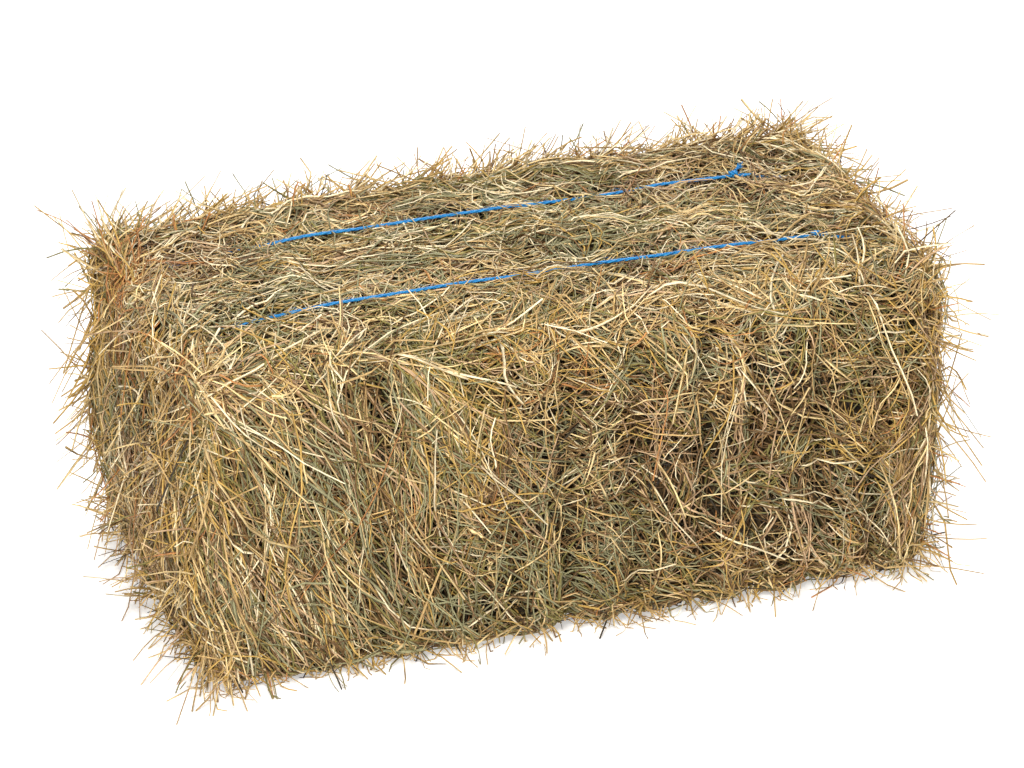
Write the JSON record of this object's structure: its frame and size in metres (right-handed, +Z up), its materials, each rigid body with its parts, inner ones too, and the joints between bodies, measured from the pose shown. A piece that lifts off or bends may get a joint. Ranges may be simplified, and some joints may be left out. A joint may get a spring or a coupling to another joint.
{
  "type": "square hay bale",
  "caption": "Small rectangular bale of dried hay, pressed in upright flakes and held by two loops of plastic twine; stacks, seats and feeds livestock.",
  "frame": {"origin": "centre of the bale's underside, on the surface it rests on", "axes": "+X along the bale's length and its twine, +Y from the near long face to the far one, +Z up"},
  "size_m": [0.914, 0.4566, 0.4071],
  "materials": {
    "hay": "dried grass stems, dull with a faint waxy sheen",
    "twine": "twisted blue polypropylene film twine, satin"
  },
  "bodies": {
    "root": {"flake_01": "hay", "flake_02": "hay", "flake_03": "hay", "flake_04": "hay", "flake_05": "hay", "flake_06": "hay", "flake_07": "hay", "flake_08": "hay", "flake_09": "hay", "flake_10": "hay", "flake_11": "hay", "flake_12": "hay", "twine_front": "twine", "twine_rear": "twine"}
  },
  "joints": []
}
